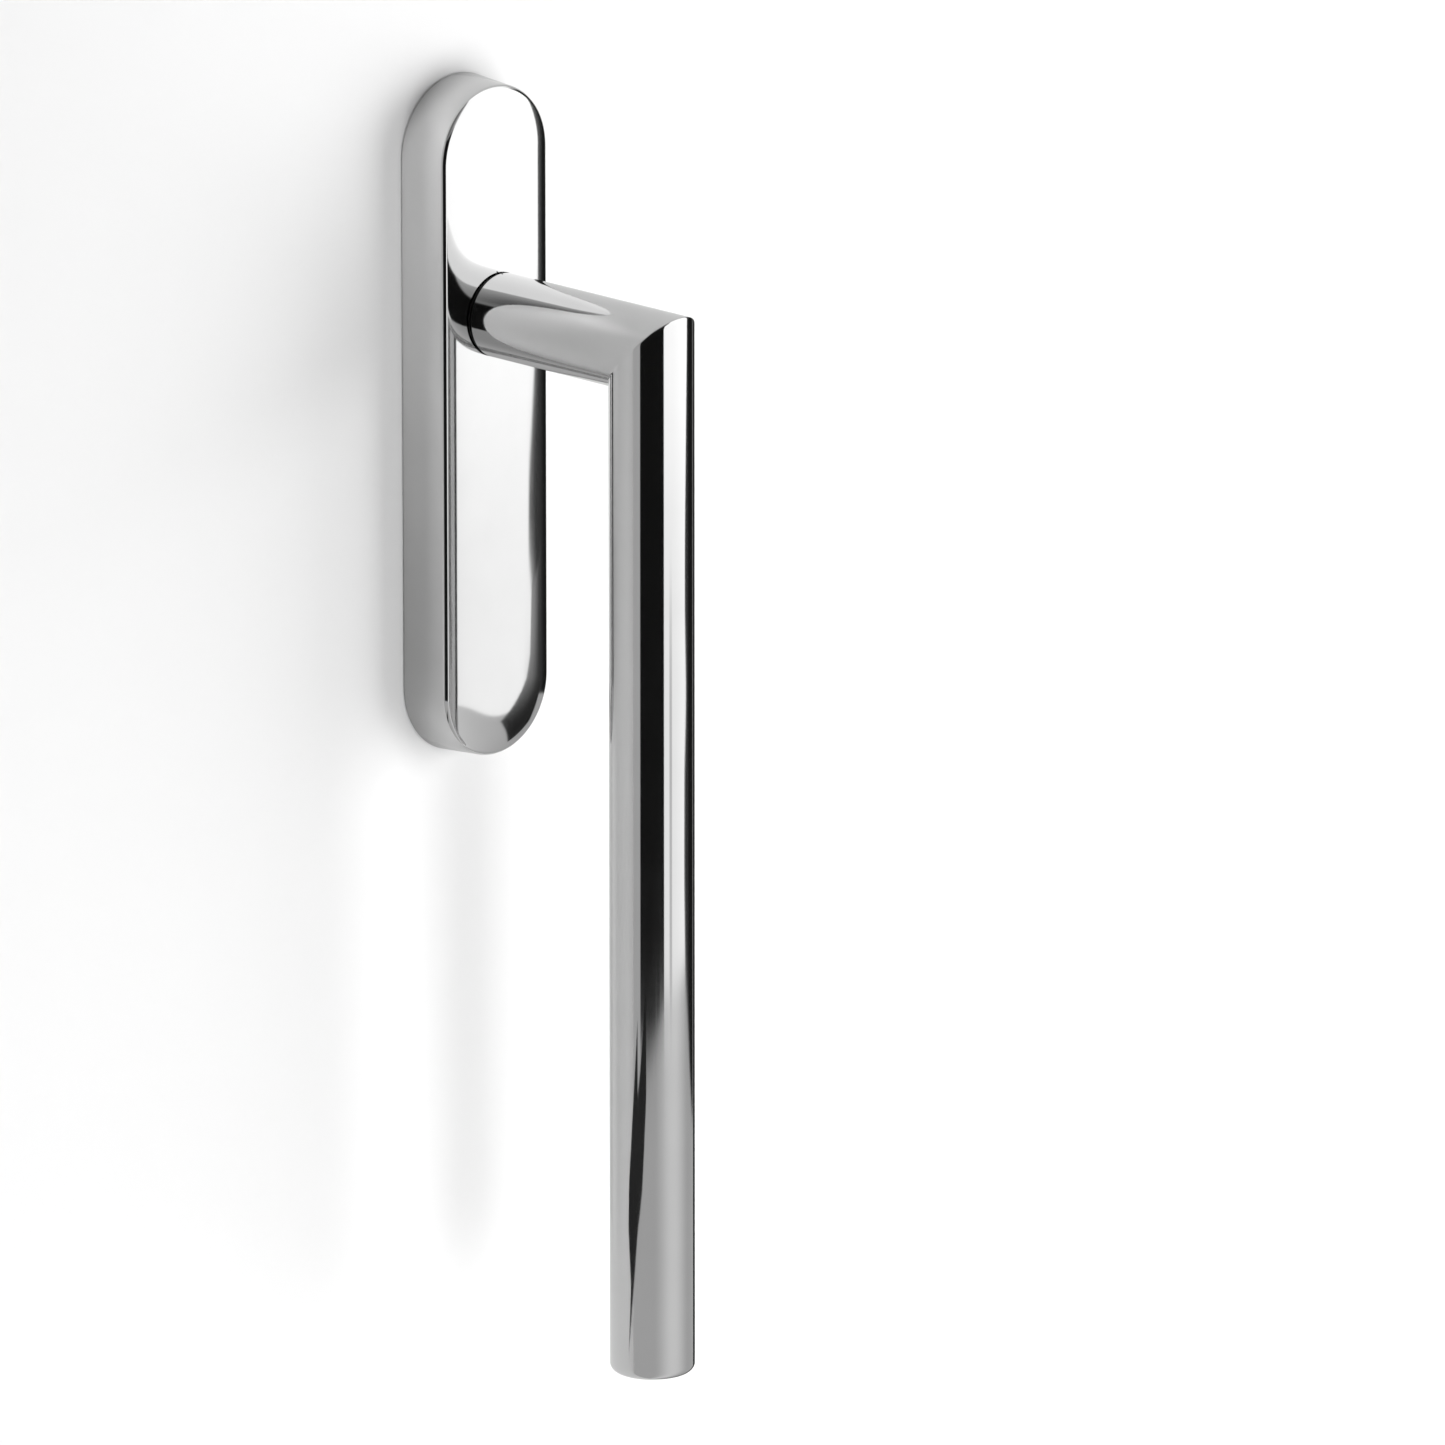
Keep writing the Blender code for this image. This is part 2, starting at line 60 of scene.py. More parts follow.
# Cover plate
COVER_LOW, COVER_HIGH = box_mm("cover_plate")
COVER_RADIUS = (COVER_HIGH.x - COVER_LOW.x) / 2
COVER_FOOT = -COVER_HIGH.y
COVER_TOP = -COVER_LOW.y
TOP_CENTRE = COVER_HIGH.z - COVER_RADIUS
BOTTOM_CENTRE = COVER_LOW.z + COVER_RADIUS
FRONT_RADIUS = 17.0            # half width where the drafted side wall ends
WALL_TOP = 12.2
CROWN = 1.35                   # how much the middle of the face stands above its border
CROWN_POWER = 3.7              # how fast the crown falls away towards the border
EDGE_ROUND = 1.4
COVER_WALL = 1.5
COVER_INSIDE = 12.4            # height of the cover's inner face
NECK_HOLE_RADIUS = 9.5
NECK_RING_BORE = 8.5
EDGE_STEPS = 24                # facets of the rounded edge
CROWN_STEPS = 48               # rings of the crowned face
COVER_SLICES = 40              # rows along the straight sides

# Lever
NECK_REAR = box_mm("neck_tube")[1].y
GRIP_LOW, GRIP_HIGH = box_mm("grip_tube")
CAP_LOW, CAP_HIGH = box_mm("grip_end_cap")
TUBE_RADIUS = (GRIP_HIGH.x - GRIP_LOW.x) / 2
TUBE_WALL = 1.5
GRIP_Y = (GRIP_LOW.y + GRIP_HIGH.y) / 2
GRIP_BOTTOM = CAP_LOW.z
CAP_JOINT = GRIP_LOW.z
GRIP_END_ROUND = 2.0
MITRE = Vector((0.0, 1.0, 1.0)).normalized()
MITRE_ROUND = 0.3
NECK_END_ROUND = 0.3

# What shows behind the door plane
SCREW_RADIUS = 3.0
SCREW_PITCH = 1.0
SCREW_HEAD_RIM = 0.4
SCREW_HEAD_HEIGHT = 2.6
SCREW_PLAIN = 9.0              # from the head's face to the first turn of the thread
SCREW_LEAD = 0.9               # length of the chamfered tip
SCREW_SOCKET = 2.2             # reach and depth of the hexagon socket
SPINDLE_LEAD = 1.0
SPINDLE_EASE = 0.25
GASKET_HUB_HOLE = 11.0
SLEEVE_HOLE = 5.3
GROOVE_OUTER = 1.6             # the gasket's groove, in from its border
GROOVE_INNER = 2.6
GROOVE_DEPTH = 0.3

ROUND_STEPS = 192
HALF_STEPS = 96
SMALL_STEPS = 96
MERGE = 0.0005                 # points closer than this are one point


# ---------------------------------------------------------------- finishes

class Value:
    """A number that varies over a surface; arithmetic on it adds Math nodes."""

    def __init__(self, tree, socket):
        self.tree = tree
        self.socket = socket

    def math(self, operation, *others):
        return self.tree.value("Math", {"operation": operation}, (self, *others))

    def __add__(self, other):
        return self.math("ADD", other)

    def __sub__(self, other):
        return self.math("SUBTRACT", other)

    def __rsub__(self, other):
        return self.tree.value("Math", {"operation": "SUBTRACT"}, (other, self))

    def __mul__(self, other):
        return self.math("MULTIPLY", other)

    def __truediv__(self, other):
        return self.math("DIVIDE", other)

    def between(self, low, high):
        """0 below low, 1 above high, smooth in between."""
        return self.tree.value(
            "MapRange", {"interpolation_type": "SMOOTHSTEP"},
            {"Value": self, "From Min": low, "From Max": high}, output="Result")

    __radd__ = __add__
    __rmul__ = __mul__


class Tree:
    """The nodes of one material or world."""

    def __init__(self, owner):
        owner.use_nodes = True
        self.nodes = owner.node_tree.nodes
        self.links = owner.node_tree.links
        self.nodes.clear()

    def node(self, kind, settings=None, inputs=()):
        """A node of a type, its settings made first, then its sockets filled or linked."""
        made = self.nodes.new("ShaderNode" + kind)
        for name, setting in (settings or {}).items():
            if name == "stops":
                self.set_stops(made.color_ramp, setting)
            else:
                setattr(made, name, setting)
        pairs = inputs.items() if isinstance(inputs, dict) else enumerate(inputs)
        for name, given in pairs:
            given = getattr(given, "socket", given)
            if isinstance(given, bpy.types.NodeSocket):
                self.links.new(given, made.inputs[name])
            else:
                made.inputs[name].default_value = given
        return made

    def value(self, kind, settings=None, inputs=(), output=0):
        return Value(self, self.node(kind, settings, inputs).outputs[output])

    def set_stops(self, ramp, stops):
        while len(ramp.elements) < len(stops):
            ramp.elements.new(1.0)
        for element, (place, level) in zip(ramp.elements, stops):
            element.position = place
            element.color = (level, level, level, 1.0)

    def coords(self, scale=(1.0, 1.0, 1.0)):
        """Object coordinates in metres, stretched by scale."""
        place = self.node("TexCoord").outputs["Object"]
        return self.node("Mapping", None, {"Vector": place, "Scale": scale}).outputs[0]

    def noise(self, size, detail=2.0, stretch=(1.0, 1.0, 1.0)):
        """Noise from 0 to 1 with features of a size in millimetres."""
        scale = tuple(part / (size * MM) for part in stretch)
        return self.value("TexNoise", None, {
            "Vector": self.coords(scale), "Scale": 1.0, "Detail": detail})

    def mix_color(self, amount, first, second):
        return self.node("Mix", {"data_type": "RGBA"}, {0: amount, 6: first, 7: second}).outputs[2]

    def grey(self, level):
        """A neutral colour from a varying level."""
        return self.node("CombineColor", None, [level, level, level]).outputs[0]

    def bump(self, height, strength, depth):
        """A bump from a height of 0 to 1 that stands for depth millimetres."""
        return self.node("Bump", None, {
            "Height": height, "Strength": strength, "Distance": depth * MM}).outputs[0]

    def surface(self, shader):
        self.node("OutputMaterial", None, {"Surface": shader})


def grey(level):
    return (level, level, level, 1.0)


def new_finish(name):
    material = bpy.data.materials.new(name)
    return material, Tree(material)


def polished_steel():
    """Mirror-polished stainless steel: a faint haze and fine lines along the piece."""
    material, tree = new_finish("polished_steel")
    haze = tree.noise(14.0, detail=3.0)
    lines = tree.noise(0.35, detail=2.0, stretch=(1.0, 1.0, 0.012))
    tint = tree.mix_color(haze, grey(0.62), grey(0.67))
    tree.surface(tree.node("BsdfPrincipled", None, {
        "Base Color": tint,
        "Metallic": 1.0,
        "Roughness": 0.035 + 0.03 * haze + 0.03 * lines,
        "Normal": tree.bump(lines, 0.05, 0.004),
    }).outputs[0])
    return material


def plated_steel(name, dark, light, rough):
    """Plated or sprung steel: mottled colour, drawing lines and small pits."""
    material, tree = new_finish(name)
    mottle = tree.noise(3.0, detail=4.0)
    lines = tree.noise(0.25, detail=2.0, stretch=(1.0, 0.06, 1.0))
    pits = tree.noise(0.18, detail=1.0)
    tree.surface(tree.node("BsdfPrincipled", None, {
        "Base Color": tree.mix_color(mottle, dark, light),
        "Metallic": 1.0,
        "Roughness": rough + 0.12 * mottle + 0.08 * lines,
        "Normal": tree.bump(lines * 0.6 + pits * 0.4, 0.3, 0.02),
    }).outputs[0])
    return material


def die_cast():
    """Zinc die casting: a dull grained skin with darker flow marks."""
    material, tree = new_finish("die_cast")
    flow = tree.noise(6.0, detail=5.0)
    grain = tree.noise(0.3, detail=3.0)
    tree.surface(tree.node("BsdfPrincipled", None, {
        "Base Color": tree.mix_color(flow, (0.34, 0.34, 0.35, 1.0), (0.56, 0.56, 0.57, 1.0)),
        "Metallic": 1.0,
        "Roughness": 0.38 + 0.16 * grain,
        "Normal": tree.bump(grain, 0.5, 0.04),
    }).outputs[0])
    return material


def moulded(name, dark, light, rough, grain_size, grain_depth):
    """A moulded plastic or rubber with a fine spark-eroded grain."""
    material, tree = new_finish(name)
    grain = tree.noise(grain_size, detail=2.0)
    cloud = tree.noise(5.0, detail=2.0)
    tree.surface(tree.node("BsdfPrincipled", None, {
        "Base Color": tree.mix_color(cloud, dark, light),
        "Roughness": rough + 0.12 * grain,
        "Normal": tree.bump(grain, 0.6, grain_depth),
    }).outputs[0])
    return material


# ---------------------------------------------------------------- shaping

def rounded(outline, steps=6, hold=0.2):
    """Points of an outline given as (x, y, corner radius); round corners become arcs.

    A point is added hold millimetres before and after each arc, so that the shading of
    the arc stays on the arc.
    """
    points = []
    befores = outline[-1:] + outline[:-1]
    afters = outline[1:] + outline[:1]
    for before, corner, after in zip(befores, outline, afters):
        place, radius = Vector(corner[:2]), corner[2]
        if not radius:
            points.append(place)
            continue
        back = (Vector(before[:2]) - place).normalized()
        ahead = (Vector(after[:2]) - place).normalized()
        half = back.angle(ahead) / 2
        reach = radius / tan(half)
        middle = place + (back + ahead).normalized() * radius / sin(half)
        start = place + back * reach - middle
        turn = pi - 2 * half
        if back.x * ahead.y - back.y * ahead.x > 0:
            turn = -turn
        points.append(place + back * (reach + hold))
        for step in range(steps + 1):
            points.append(middle + Matrix.Rotation(turn * step / steps, 2) @ start)
        points.append(place + ahead * (reach + hold))
    return points


def clean(bm):
    bmesh.ops.remove_doubles(bm, verts=bm.verts, dist=MERGE)
    bmesh.ops.recalc_face_normals(bm, faces=bm.faces)


def turned(profile, axis="Y", centre=(0.0, 0.0, 0.0), steps=ROUND_STEPS, closed=True):
    """A turned solid from (radius, place along the axis) points."""
    bm = bmesh.new()
    along = Vector((0.0, 1.0, 0.0)) if axis == "Y" else Vector((0.0, 0.0, 1.0))
    verts = [bm.verts.new(Vector(centre) + Vector((radius, 0.0, 0.0)) + along * place)
             for radius, place in profile]
    ends = verts[1:] + verts[:1] if closed else verts[1:]
    edges = [bm.edges.new(pair) for pair in zip(verts, ends)]
    bmesh.ops.spin(bm, geom=verts + edges, cent=centre, axis=along, angle=2 * pi,
                   steps=steps, use_merge=True)
    clean(bm)
    return bm


def plug(radius, front, rear, centre=(0.0, 0.0, 0.0), axis="Y", steps=ROUND_STEPS):
    """A cylinder between two places on its axis, for drilling."""
    return turned([(0.0, front), (radius, front), (radius, rear), (0.0, rear)], axis=axis,
                  centre=centre, steps=steps, closed=False)


def to_object(name, bm):
    """A smooth-shaded object from a bmesh in millimetres, its edges over 30 degrees sharp."""
    bmesh.ops.scale(bm, vec=(MM, MM, MM), verts=bm.verts)
    mesh = bpy.data.meshes.new(name)
    bm.to_mesh(mesh)
    bm.free()
    mesh.shade_smooth()
    mesh.set_sharp_from_angle(angle=radians(30))
    obj = bpy.data.objects.new(name, mesh)
    bpy.context.scene.collection.objects.link(obj)
    return obj


def drill(obj, *cutters, operation="DIFFERENCE"):
    """Cut bmeshes in millimetres out of an object, or join them to it, for good.

    Points that a cut leaves on top of each other are merged at the end.
    """
    for number, bm in enumerate(cutters):
        cutter = to_object(f"{obj.name}_cutter_{number}", bm)
        modifier = obj.modifiers.new("drill", "BOOLEAN")
        modifier.operation = operation
        modifier.object = cutter
        modifier.solver = "EXACT"
        bpy.context.view_layer.update()
        graph = bpy.context.evaluated_depsgraph_get()
        mesh = bpy.data.meshes.new_from_object(obj.evaluated_get(graph))
        obj.modifiers.clear()
        obj.data = mesh
        bpy.data.objects.remove(cutter, do_unlink=True)
    bm = bmesh.new()
    bm.from_mesh(obj.data)
    bmesh.ops.remove_doubles(bm, verts=bm.verts, dist=MERGE * MM)
    bmesh.ops.dissolve_degenerate(bm, edges=bm.edges, dist=MERGE * MM)
    bm.to_mesh(obj.data)
    bm.free()
    obj.data.set_sharp_from_angle(angle=radians(30))


def thread(radius, pitch, front, rear, centre, steps=48):
    """A threaded rod along Y, its turns joined edge to edge and its ends drawn to a point."""
    bm = bmesh.new()
    along = Vector((0.0, 1.0, 0.0))
    root = radius - 0.61 * pitch
    tooth = [(root, 0.0), (root, 0.25), (radius, 0.56), (radius, 0.69), (root, 1.0)]
    verts = [bm.verts.new(Vector(centre) + Vector((reach, front + place * pitch, 0.0)))
             for reach, place in tooth]
    edges = [bm.edges.new(pair) for pair in zip(verts, verts[1:])]
    turns = round((rear - front) / pitch)
    bmesh.ops.spin(bm, geom=verts + edges, cent=centre, axis=along, angle=2 * pi * turns,
                   steps=steps * turns, dvec=along * pitch / steps)
    bmesh.ops.remove_doubles(bm, verts=bm.verts, dist=MERGE)
    middle = (rear + front) / 2
    for end, place in ((-1, front + pitch / 2), (1, rear + pitch / 2)):
        rim = [edge for edge in bm.edges if edge.is_boundary
               and (edge.verts[0].co.y - middle) * end > 0]
        made = bmesh.ops.extrude_edge_only(bm, edges=rim)["geom"]
        fresh = [item for item in made if isinstance(item, bmesh.types.BMVert)]
        bmesh.ops.pointmerge(bm, verts=fresh, merge_co=Vector(centre) + along * place)
    clean(bm)
    return bm


def settle(obj, finish, body, slot, *nodes):
    """Give a piece its finish and its body, and hide the frame nodes it stands for; slot is not
    used.
    """
    obj.data.materials.clear()
    obj.data.materials.append(finish)
    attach(obj, body)
    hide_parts(*nodes)
    return obj


def obround_shell(profile):
    """A skin of (radius, height) points swept round the cover plate's outline."""
    bm = bmesh.new()
    verts = [bm.verts.new((radius, -height, TOP_CENTRE)) for radius, height in profile]
    edges = [bm.edges.new(pair) for pair in zip(verts, verts[1:])]
    straight = TOP_CENTRE - BOTTOM_CENTRE
    for centre, reach in ((TOP_CENTRE, -straight), (BOTTOM_CENTRE, straight)):
        last = bmesh.ops.spin(bm, geom=verts + edges, cent=(0.0, 0.0, centre),
                              axis=(0.0, -1.0, 0.0), angle=pi, steps=HALF_STEPS)["geom_last"]
        edges = [item for item in last if isinstance(item, bmesh.types.BMEdge)]
        made = bmesh.ops.extrude_edge_only(bm, edges=edges)["geom"]
        verts = [item for item in made if isinstance(item, bmesh.types.BMVert)]
        fresh = set(verts)
        edges = [item for item in made
                 if isinstance(item, bmesh.types.BMEdge) and fresh.issuperset(item.verts)]
        bmesh.ops.translate(bm, vec=(0.0, 0.0, reach), verts=verts)
    clean(bm)
    return bm


def crown_height(radius):
    return COVER_TOP - CROWN * (radius / FRONT_RADIUS) ** CROWN_POWER


def crown_tilt(radius):
    """Angle of the crowned face to the door, where its outline has this radius."""
    steep = CROWN_POWER - 1.0
    return atan(CROWN_POWER * CROWN * radius ** steep / FRONT_RADIUS ** CROWN_POWER)


def cover_edge():
    """The arc between side wall and crown: its centre and its two end angles."""
    draft = Vector((COVER_RADIUS - FRONT_RADIUS, WALL_TOP - COVER_FOOT))
    wall_angle = draft.angle((0.0, 1.0))
    low, high = FRONT_RADIUS - 2 * EDGE_ROUND, FRONT_RADIUS
    for _ in range(40):
        meet = (low + high) / 2
        crown_angle = pi / 2 - crown_tilt(meet)
        centre = Vector((meet - EDGE_ROUND * cos(crown_angle),
                         crown_height(meet) - EDGE_ROUND * sin(crown_angle)))
        height = centre.y + EDGE_ROUND * sin(wall_angle)
        wall = COVER_RADIUS - draft.x * (height - COVER_FOOT) / draft.y
        if centre.x + EDGE_ROUND * cos(wall_angle) > wall:
            high = meet
        else:
            low = meet
    return centre, wall_angle, crown_angle, meet


# ---------------------------------------------------------------- the pieces

def make_cover(finish):
    """Drafted, crowned cover plate with a thin wall, open at the back."""
    inner_rear = COVER_RADIUS - COVER_WALL
    profile = [(0.0, COVER_INSIDE), (FRONT_RADIUS - COVER_WALL - 1.2, COVER_INSIDE),
               (FRONT_RADIUS - COVER_WALL - 0.2, COVER_INSIDE - 1.0),
               (inner_rear, COVER_FOOT), (COVER_RADIUS - 0.2, COVER_FOOT),
               (COVER_RADIUS - 0.06, COVER_FOOT + 0.06), (COVER_RADIUS, COVER_FOOT + 0.2)]
    centre, wall_angle, crown_angle, meet = cover_edge()
    wall_end = centre + EDGE_ROUND * Vector((cos(wall_angle), sin(wall_angle)))
    profile.append((wall_end.x + 0.3 * sin(wall_angle), wall_end.y - 0.3))
    for step in range(EDGE_STEPS + 1):
        angle = wall_angle + (crown_angle - wall_angle) * step / EDGE_STEPS
        profile.append(centre + EDGE_ROUND * Vector((cos(angle), sin(angle))))
    for step in range(1, CROWN_STEPS + 1):
        radius = meet * (1.0 - step / CROWN_STEPS)
        profile.append((radius, crown_height(radius)))
    bm = obround_shell(profile)
    for step in range(1, COVER_SLICES):
        height = BOTTOM_CENTRE + (TOP_CENTRE - BOTTOM_CENTRE) * step / COVER_SLICES
        bmesh.ops.bisect_plane(bm, geom=bm.verts[:] + bm.edges[:] + bm.faces[:], dist=MERGE,
                               plane_co=(0.0, 0.0, height), plane_no=(0.0, 0.0, 1.0))
    cover = to_object("cover_plate_shell", bm)
    drill(cover, plug(NECK_HOLE_RADIUS, -8.0, -20.0))
    settle(cover, finish, "base", "polished", "cover_plate")


def make_neck_ring(finish):
    """Black ring in the cover's hole: its thin edge is the dark line round the neck."""
    low, high = box_mm("neck_ring")
    outer, bore = high.x, NECK_RING_BORE
    in_hole = NECK_HOLE_RADIUS - 0.3
    seat = -COVER_TOP - 0.05
    outline = rounded([
        (bore, low.y, 0.15), (outer, low.y, 0.15), (outer, seat, 0.1), (in_hole, seat, 0.0),
        (in_hole, high.y, 0.1), (bore, high.y, 0.1)], steps=4, hold=0.05)
    ring = to_object("neck_guide_ring", turned(outline))
    settle(ring, finish, "base", "black_plastic", "neck_ring")


def lever_skin(bm, radius):
    """One skin of the mitred tube; gives its neck end, mitre and lower end as edge loops."""
    place = Matrix.Translation((0.0, NECK_REAR, 0.0)) @ Matrix.Rotation(pi / 2, 4, "X")
    verts = bmesh.ops.create_circle(bm, segments=ROUND_STEPS, radius=radius,
                                    matrix=place)["verts"]
    edges = list({edge for vert in verts for edge in vert.link_edges})
    loops = [edges]
    for part in ("neck", "grip"):
        made = bmesh.ops.extrude_edge_only(bm, edges=edges)["geom"]
        verts = [item for item in made if isinstance(item, bmesh.types.BMVert)]
        fresh = set(verts)
        edges = [item for item in made
                 if isinstance(item, bmesh.types.BMEdge) and fresh.issuperset(item.verts)]
        for vert in verts:
            if part == "neck":
                vert.co.y = GRIP_Y - vert.co.z
            else:
                vert.co.z = CAP_JOINT
        loops.append(edges)
    return loops


def bevel(bm, edges, width, segments):
    bmesh.ops.bevel(bm, geom=edges, offset=width, affect="EDGES", segments=segments,
                    profile=0.5, material=-1)


def make_lever_tube(finish):
    """Neck and grip: one bent tube, mitred, welded and polished over."""
    bm = bmesh.new()
    outer = lever_skin(bm, TUBE_RADIUS)
    inner = lever_skin(bm, TUBE_RADIUS - TUBE_WALL)
    bmesh.ops.bridge_loops(bm, edges=outer[0] + inner[0])
    bmesh.ops.bridge_loops(bm, edges=outer[2] + inner[2])
    bevel(bm, outer[0], NECK_END_ROUND, 4)
    bevel(bm, outer[1], MITRE_ROUND, 6)
    corner = Vector((0.0, GRIP_Y, 0.0))
    holds = [(corner + MITRE * side * 2 * MITRE_ROUND, MITRE) for side in (-1, 1)]
    holds.append((Vector((0.0, NECK_REAR - 0.5, 0.0)), Vector((0.0, 1.0, 0.0))))
    for place, normal in holds:
        bmesh.ops.bisect_plane(bm, geom=bm.verts[:] + bm.edges[:] + bm.faces[:], dist=MERGE,
                               plane_co=place, plane_no=normal)
    clean(bm)
    tube = to_object("lever_tube", bm)
    low, high = box_mm("spindle_set_screw")
    middle = (low + high) / 2
    hole = (high.x - low.x) / 2 + 0.3
    drill(tube, plug(hole, -15.0, -5.0, centre=(0.0, middle.y, 0.0), axis="Z", steps=64))
    settle(tube, finish, "lever", "polished", "neck_tube", "grip_tube")


def make_end_cap(finish):
    """Plug that closes the grip: flat face with a rolled edge, and a spigot inside."""
    spigot = TUBE_RADIUS - TUBE_WALL - 0.3
    outline = [(0.0, CAP_HIGH.z, 0.0), (spigot, CAP_HIGH.z, 0.5), (spigot, CAP_JOINT, 0.0),
               (TUBE_RADIUS, CAP_JOINT, 0.0), (TUBE_RADIUS, GRIP_BOTTOM, GRIP_END_ROUND),
               (0.0, GRIP_BOTTOM, 0.0)]
    cap = to_object("grip_cap", turned(rounded(outline, steps=16), axis="Z",
                                       centre=(0.0, GRIP_Y, 0.0), closed=False))
    settle(cap, finish, "lever", "polished", "grip_end_cap")


def make_fixing_screw(name, finish):
    """Countersunk M6 screw with its thread behind the door."""
    low, high = box_mm(name)
    centre = (0.0, 0.0, (low.z + high.z) / 2)
    head = (high.z - low.z) / 2
    front, rear = low.y, high.y
    plain_end = front + SCREW_PLAIN
    crest = SCREW_RADIUS - 0.01
    screw = to_object(name + "_threaded", thread(
        SCREW_RADIUS, SCREW_PITCH, plain_end - 2.0, rear + 2.0, centre))
    blank = rounded([
        (0.0, plain_end - 0.5, 0.0), (crest, plain_end - 0.5, 0.0),
        (crest, rear - SCREW_LEAD, 0.0), (SCREW_RADIUS - 0.8, rear, 0.1), (0.0, rear, 0.0)],
        steps=3, hold=0.0)
    drill(screw, turned(blank, centre=centre, steps=SMALL_STEPS, closed=False),
          operation="INTERSECT")
    shank = rounded([
        (0.0, front, 0.0), (head, front, 0.15), (head, front + SCREW_HEAD_RIM, 0.1),
        (SCREW_RADIUS, front + SCREW_HEAD_HEIGHT, 0.4), (SCREW_RADIUS, plain_end, 0.2),
        (0.0, plain_end, 0.0)], steps=4, hold=0.0)
    drill(screw, turned(shank, centre=centre, steps=SMALL_STEPS, closed=False),
          operation="UNION")
    drill(screw, plug(SCREW_SOCKET, front - 2.0, front + SCREW_SOCKET, centre=centre, steps=6))
    settle(screw, finish, "base", "zinc_plated", name)


def make_spindle(finish):
    """Square drive bar with eased edges and a lead-in at its rear end."""
    low, high = box_mm("spindle")
    bm = bmesh.new()
    bmesh.ops.create_cube(bm, size=1.0)
    bmesh.ops.scale(bm, vec=high - low, verts=bm.verts)
    bmesh.ops.translate(bm, vec=(low + high) / 2, verts=bm.verts)
    ends = [face for face in bm.faces if face.normal.y > 0.9]
    bmesh.ops.inset_region(bm, faces=ends, thickness=SPINDLE_LEAD)
    inner = {vert for face in ends for vert in face.verts}
    rim = [vert for vert in bm.verts if vert.co.y > high.y - 0.01 and vert not in inner]
    bmesh.ops.translate(bm, vec=(0.0, -SPINDLE_LEAD, 0.0), verts=rim)
    bevel(bm, list(bm.edges), SPINDLE_EASE, 3)
    clean(bm)
    bar = to_object("spindle_bar", bm)
    settle(bar, finish, "lever", "zinc_plated", "spindle")


def make_gasket(finish):
    """Rubber pad against the door, with a sealing groove along its border."""
    low, high = box_mm("door_gasket")
    radius, thick = high.x, -low.y
    slope = GROOVE_DEPTH / 2
    gasket = to_object("door_pad", obround_shell([
        (0.0, 0.0), (radius - GROOVE_INNER - 0.2, 0.0), (radius - GROOVE_INNER, 0.05),
        (radius - GROOVE_INNER + slope, GROOVE_DEPTH),
        (radius - GROOVE_OUTER - slope, GROOVE_DEPTH), (radius - GROOVE_OUTER, 0.05),
        (radius - GROOVE_OUTER + 0.2, 0.0), (radius - 0.2, 0.0), (radius - 0.06, 0.06),
        (radius, 0.2), (radius, thick - 0.15), (radius - 0.15, thick), (0.0, thick)]))
    holes = [plug(GASKET_HUB_HOLE, -3.0, 2.0)]
    for side in ("upper", "lower"):
        low, high = box_mm("fixing_screw_" + side)
        holes.append(plug(SLEEVE_HOLE, -3.0, 2.0, centre=(0.0, 0.0, (low.z + high.z) / 2),
                          steps=SMALL_STEPS))
    drill(gasket, *holes)
    settle(gasket, finish, "base", "gasket", "door_gasket")


def refinish(finish, *names):
    """Give nodes of the frame that stay visible a finish."""
    for name in names:
        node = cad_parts[name]
        node.data.materials.clear()
        node.data.materials.append(finish)


# ---------------------------------------------------------------- studio

SURROUND_RADIUS = 1200.0
SURROUND_FOOT = -800.0
SURROUND_TOP = 2000.0
SURROUND_STEPS = 128
FLOOR_HEIGHT = -0.8
DOOR_PLACE = -0.0002
DOOR_REACH = 2000.0
DOOR_PAINT = 0.86
VIEW_SIDE = radians(45.456)          # the view comes from the left of the door's normal
VIEW_DROP = radians(15.676)          # and looks down
VIEW_DISTANCE = 4.4424
VIEW_TARGET = Vector((0.0249, -0.0628, -0.0941))
LENS = 474.5


def add_camera():
    look = Vector((sin(VIEW_SIDE) * cos(VIEW_DROP), cos(VIEW_SIDE) * cos(VIEW_DROP),
                   -sin(VIEW_DROP)))
    data = bpy.data.cameras.new("camera")
    data.sensor_width = 36.0
    data.lens = LENS
    data.clip_end = 50.0
    camera = bpy.data.objects.new("camera", data)
    camera.location = VIEW_TARGET - look * VIEW_DISTANCE
    camera.rotation_euler = (pi / 2 - VIEW_DROP, 0.0, -VIEW_SIDE)
    bpy.context.scene.collection.objects.link(camera)
    bpy.context.scene.camera = camera


